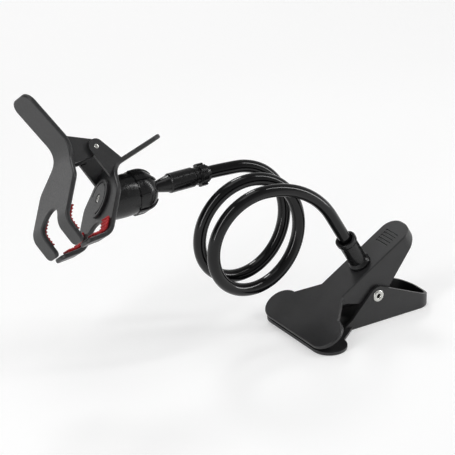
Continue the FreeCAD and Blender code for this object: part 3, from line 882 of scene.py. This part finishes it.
@dataclass
class PhoneClip:
    """The sprung clip with forked jaws that holds the phone."""

    spring_half_span: float = 4.0
    pin_radius: float = 1.7
    pin_half: float = 13.7
    pin_sides: int = 40
    finger_centre: float = 21.0
    plate: float = 3.2
    plate_level: float = 16.1
    hook_start: float = 61.0
    hook_angle: float = 53.0
    hook_bend: float = 10.0
    pad_run: float = 11.0
    pad_width: float = 10.5
    pad_thickness: float = 1.5
    bump_columns: int = 5
    bump_rows: int = 5
    bend_rows: int = 5
    bump_inset: float = 0.22
    bump_height: float = 0.75
    bump_edge_round: float = 0.16
    bump_edge_steps: int = 2
    bump_edge_angle: float = 35.0
    # The pin's domed end from its middle to its side: shares of its radius, and drops in millimetres.
    pin_dome: ClassVar[tuple[tuple[float, float], ...]] = (
        (0.0, 0.0), (0.5, 0.03), (0.8, 0.14), (0.95, 0.34), (1.0, 0.6),
    )

    def dress_solids(self, finishes: dict[str, bpy.types.Material]) -> None:
        """Gives the clip's moulded jaws their finish.

        Args:
            finishes: Every finish by its short name.
        """
        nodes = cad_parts
        for name in ("clip_lower_jaw", "clip_upper_jaw"):
            dress(nodes[name], finishes["satin"])

    def pin(self, finish: bpy.types.Material) -> bpy.types.Object:
        """Makes the hinge pin with its domed ends.

        Args:
            finish: The plated steel.

        Returns:
            The pin.
        """
        ends = [(share * self.pin_radius, self.pin_half - drop) for share, drop in self.pin_dome]
        profile = ends + [(radius, -height) for radius, height in reversed(ends)]
        piece = turned("clip_domed_pin", profile, self.pin_sides)
        settle(piece, CLIP_PLACE @ Matrix.Rotation(math.pi / 2, 4, "X"))
        dress(piece, finish)
        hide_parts("clip_pin")
        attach(piece, Body.CLIP_BASE.value)
        return piece

    def bumped_strip(self) -> bpy.types.Object:
        """Models one rubber strip for the upper jaw.

        It lies along a finger, bends into its hook and has rows of bumps.

        Returns:
            The strip in the clip's own frame, on the middle of the clip.
        """
        bend = math.radians(self.hook_angle)
        skin = self.plate / 2 + self.pad_thickness
        straight = self.pad_run - self.hook_bend * math.tan(bend / 2)
        step = straight / self.bump_rows
        turn = bend / self.bend_rows
        chord = 2 * (self.hook_bend - skin) * math.sin(turn / 2)
        moves = [(step, 0.0)] * (self.bump_rows - 1)
        moves += [(chord, turn * (i + 0.5)) for i in range(self.bend_rows)]
        moves += [(step, bend)] * self.bump_rows
        start = Vector((self.hook_start - self.pad_run, 0.0, self.plate_level - skin)) * MM
        deselect()
        bpy.ops.mesh.primitive_grid_add(x_subdivisions=1, y_subdivisions=self.bump_columns, size=1.0)
        piece = bpy.context.object
        with editing(piece):
            bpy.ops.transform.resize(value=(step * MM, self.pad_width * MM, 1.0))
            bpy.ops.transform.translate(value=start + Vector((step * MM / 2, 0.0, 0.0)))
            pick_points(piece, lambda place: place.x > start.x + step * MM / 2)
            for length, slope in moves:
                way = Vector((math.cos(slope), 0.0, -math.sin(slope))) * length * MM
                bpy.ops.mesh.extrude_region_move(TRANSFORM_OT_translate={"value": way})
            bpy.ops.mesh.select_all(action="SELECT")
            bpy.ops.mesh.normals_make_consistent(inside=False)
            pick_faces(piece, lambda face: True)
            if piece.data.polygons[0].normal.z > 0:
                bpy.ops.mesh.flip_normals()
            pick_faces(piece, lambda face: face.index // self.bump_columns % 2 == 0)
            bpy.ops.mesh.inset(thickness=self.bump_inset * MM, use_individual=True)
            bpy.ops.transform.shrink_fatten(value=self.bump_height * MM)
        apply_modifier(piece, "SOLIDIFY", {"thickness": self.pad_thickness * MM, "offset": -1.0})
        apply_modifier(
            piece, "BEVEL",
            {
                "width": self.bump_edge_round * MM,
                "segments": self.bump_edge_steps,
                "limit_method": "ANGLE",
                "angle_limit": math.radians(self.bump_edge_angle),
            },
        )
        return piece

    def grip_pads(self, finish: bpy.types.Material) -> list[bpy.types.Object]:
        """Puts a bumped strip in each finger of both jaws.

        Args:
            finish: The red rubber.

        Returns:
            The four strips.
        """
        master = self.bumped_strip()
        pads = []
        for jaw, body, flip in (("upper", Body.CLIP_TOP, 1.0), ("lower", Body.CLIP_BASE, -1.0)):
            for side, across in (("left", -self.finger_centre), ("right", self.finger_centre)):
                name = f"clip_{jaw}_{side}_grip"
                piece = bpy.data.objects.new(name, master.data.copy())
                piece.data.name = name
                bpy.context.scene.collection.objects.link(piece)
                shift = Matrix.Translation((0.0, across * MM, 0.0))
                settle(piece, CLIP_PLACE @ shift @ Matrix.Diagonal((1.0, 1.0, flip, 1.0)))
                dress(piece, finish)
                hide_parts(f"clip_{jaw}_pad_{side}")
                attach(piece, body.value)
                pads.append(piece)
        bpy.data.objects.remove(master)
        return pads

    def spring(self, finish: bpy.types.Material) -> bpy.types.Object:
        """Makes the coil spring on the hinge pin from a copy of its solid.

        Args:
            finish: The spring wire's material.

        Returns:
            The spring.
        """
        piece = solid_copy("clip_spring", "clip_coil_spring")
        dress(piece, finish)
        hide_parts("clip_spring")
        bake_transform(piece)
        return piece


@dataclass(frozen=True)
class SoftBox:
    """A rectangular soft box, with its place and size in millimetres and its power in watts."""

    name: str
    place: tuple[float, float, float]
    size: tuple[float, float]
    power: float

    def hang(self, aim: Vector) -> None:
        """Hangs the lamp so that it faces a point.

        Args:
            aim: The point, in millimetres.
        """
        data = bpy.data.lights.new(self.name, "AREA")
        data.shape = "RECTANGLE"
        data.size = self.size[0] * MM
        data.size_y = self.size[1] * MM
        data.energy = self.power
        lamp = bpy.data.objects.new(self.name, data)
        lamp.location = Vector(self.place) * MM
        towards = aim - Vector(self.place)
        lamp.rotation_euler = towards.to_track_quat("-Z", "Y").to_euler()
        bpy.context.scene.collection.objects.link(lamp)


@dataclass
class Studio:
    """A white floor under soft boxes, and the camera at the photograph's angle."""

    azimuth: float = -33.7
    elevation: float = 25.2
    aim: tuple[float, float, float] = (-96.7, 30.8, 81.3)
    distance: float = 1800.0
    view_width: float = 312.0
    sensor: float = 36.0
    floor_size: float = 12000.0
    floor_cells: int = 4
    fibre_mm: float = 300.0
    fibre_detail: float = 3.0
    horizon: str = "#ffffff"
    wall: str = "#bcbcbc"
    overhead: str = "#898989"
    wall_top: float = 0.08
    ceiling: float = 0.75
    paper: str = "#d6d6d6"
    paper_shade: str = "#d2d2d2"
    floor_glow: float = 0.385
    far_glow: float = 0.66
    glow_from: float = 500.0
    glow_to: float = 2200.0
    lamp_aim: tuple[float, float, float] = (-80.0, 30.0, 70.0)
    lamps: tuple[SoftBox, ...] = (
        SoftBox("top_box", (-120.0, 150.0, 1150.0), (600.0, 600.0), 1.7),
        SoftBox("back_box", (210.0, 1020.0, 1120.0), (300.0, 300.0), 4.4),
        SoftBox("left_strip", (-1050.0, -250.0, 520.0), (110.0, 1500.0), 6.6),
        SoftBox("right_strip", (820.0, -420.0, 460.0), (110.0, 1500.0), 6.6),
    )

    def away(self) -> Vector:
        """Gives the direction from the object to the camera.

        Returns:
            A vector of length 1.
        """
        turn = math.radians(self.azimuth)
        rise = math.radians(self.elevation)
        return Vector((math.sin(turn) * math.cos(rise), -math.cos(turn) * math.cos(rise), math.sin(rise)))

    def camera(self) -> None:
        """Sets up a long lens that takes in the whole stand."""
        data = bpy.data.cameras.new("product_camera")
        data.sensor_width = self.sensor
        data.lens = self.sensor * self.distance / self.view_width
        eye = bpy.data.objects.new("product_camera", data)
        eye.location = (Vector(self.aim) + self.away() * self.distance) * MM
        eye.rotation_euler = (-self.away()).to_track_quat("-Z", "Y").to_euler()
        bpy.context.scene.collection.objects.link(eye)
        bpy.context.scene.camera = eye

    def world(self) -> None:
        """Fills the room with a pale light that is white at the horizon and dims towards the ceiling."""
        world = bpy.data.worlds.new("white_room")
        world.use_nodes = True
        tree = world.node_tree
        tree.nodes.clear()
        place = add_node(tree, "ShaderNodeTexCoord")
        way = add_node(tree, "ShaderNodeSeparateXYZ", inputs={"Vector": place.outputs["Generated"]})
        stops = ((0.0, self.horizon), (self.wall_top, self.wall), (self.ceiling, self.overhead))
        level = add_ramp(tree, way.outputs["Z"], stops)
        light = add_node(tree, "ShaderNodeBackground", inputs={"Color": level.outputs["Color"]})
        add_node(tree, "ShaderNodeOutputWorld", inputs={"Surface": light.outputs["Background"]})
        bpy.context.scene.world = world

    def floor(self) -> None:
        """Lays a wide white sheet that glows more away from the lamps, so that it stays white there."""
        deselect()
        bpy.ops.mesh.primitive_grid_add(
            x_subdivisions=self.floor_cells, y_subdivisions=self.floor_cells, size=self.floor_size * MM,
        )
        sheet = bpy.context.object
        sheet.name = "studio_floor"
        material, tree = new_tree("matt_white_paper")
        place = add_node(tree, "ShaderNodeTexCoord")
        fibre = add_noise(tree, place.outputs["Object"], self.fibre_mm, self.fibre_detail)
        tone = add_ramp(tree, fibre.outputs["Fac"], ((0.0, self.paper_shade), (1.0, self.paper)))
        path = add_node(tree, "ShaderNodeLightPath")
        seen = add_node(
            tree, "ShaderNodeMath", {"operation": "MAXIMUM"},
            {0: path.outputs["Is Camera Ray"], 1: path.outputs["Is Glossy Ray"]},
        )
        clear = add_node(
            tree, "ShaderNodeMath", {"operation": "MAXIMUM"},
            {0: seen.outputs[0], 1: path.outputs["Is Transmission Ray"]},
        )
        away = add_node(
            tree, "ShaderNodeVectorMath", {"operation": "LENGTH"}, {0: place.outputs["Object"]},
        )
        spread = add_node(
            tree, "ShaderNodeMapRange",
            inputs={
                "Value": away.outputs["Value"],
                "From Min": self.glow_from * MM,
                "From Max": self.glow_to * MM,
                "To Min": self.floor_glow,
                "To Max": self.far_glow,
            },
        )
        glow = add_node(
            tree, "ShaderNodeMath", {"operation": "MULTIPLY"},
            {0: clear.outputs[0], 1: spread.outputs["Result"]},
        )
        paper = add_node(tree, "ShaderNodeBsdfDiffuse", inputs={"Color": tone.outputs["Color"]})
        white = add_node(
            tree, "ShaderNodeEmission", inputs={"Color": linear("#ffffff"), "Strength": glow.outputs[0]},
        )
        both = add_node(
            tree, "ShaderNodeAddShader", inputs={0: paper.outputs["BSDF"], 1: white.outputs["Emission"]},
        )
        add_node(tree, "ShaderNodeOutputMaterial", inputs={"Surface": both.outputs["Shader"]})
        dress(sheet, material)

    def build(self) -> None:
        """Sets the floor, lights, room and camera."""
        bpy.context.scene.view_settings.view_transform = "Standard"
        self.floor()
        self.world()
        for lamp in self.lamps:
            lamp.hang(Vector(self.lamp_aim))
        self.camera()


def main() -> None:
    """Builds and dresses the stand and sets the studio."""
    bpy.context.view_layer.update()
    finishes = {
        "satin": SATIN_ABS.material(),
        "polished": POLISHED_ABS.material(),
        "pvc": GLOSS_PVC.material(),
        "red_rubber": RED_RUBBER.material(),
        "black_rubber": BLACK_RUBBER.material(),
        "nickel": NICKEL_STEEL.material(),
        "spring": SPRING_STEEL.material(),
        "aluminium": SOFT_ALUMINIUM.material(),
    }
    clamp = TableClamp()
    arm = BendableArm()
    socket = BallSocket()
    clip = PhoneClip()
    for assembly in (clamp, arm, socket, clip):
        assembly.dress_solids(finishes)
    pieces = [
        clamp.rivet(finishes["nickel"]),
        clamp.pad("lower", Body.CLAMP_BASE, finishes["black_rubber"]),
        clamp.pad("upper", Body.CLAMP_TOP, finishes["black_rubber"]),
        clamp.spring(finishes["spring"]),
        arm.foot_screw(finishes["nickel"]),
        socket.swivel_screw(finishes["nickel"]),
        clip.pin(finishes["nickel"]),
        *clip.grip_pads(finishes["red_rubber"]),
        clip.spring(finishes["spring"]),
    ]
    for piece in pieces:
        log.info("piece %s", piece.name)
    Studio().build()


if __name__ == "__main__":
    main()
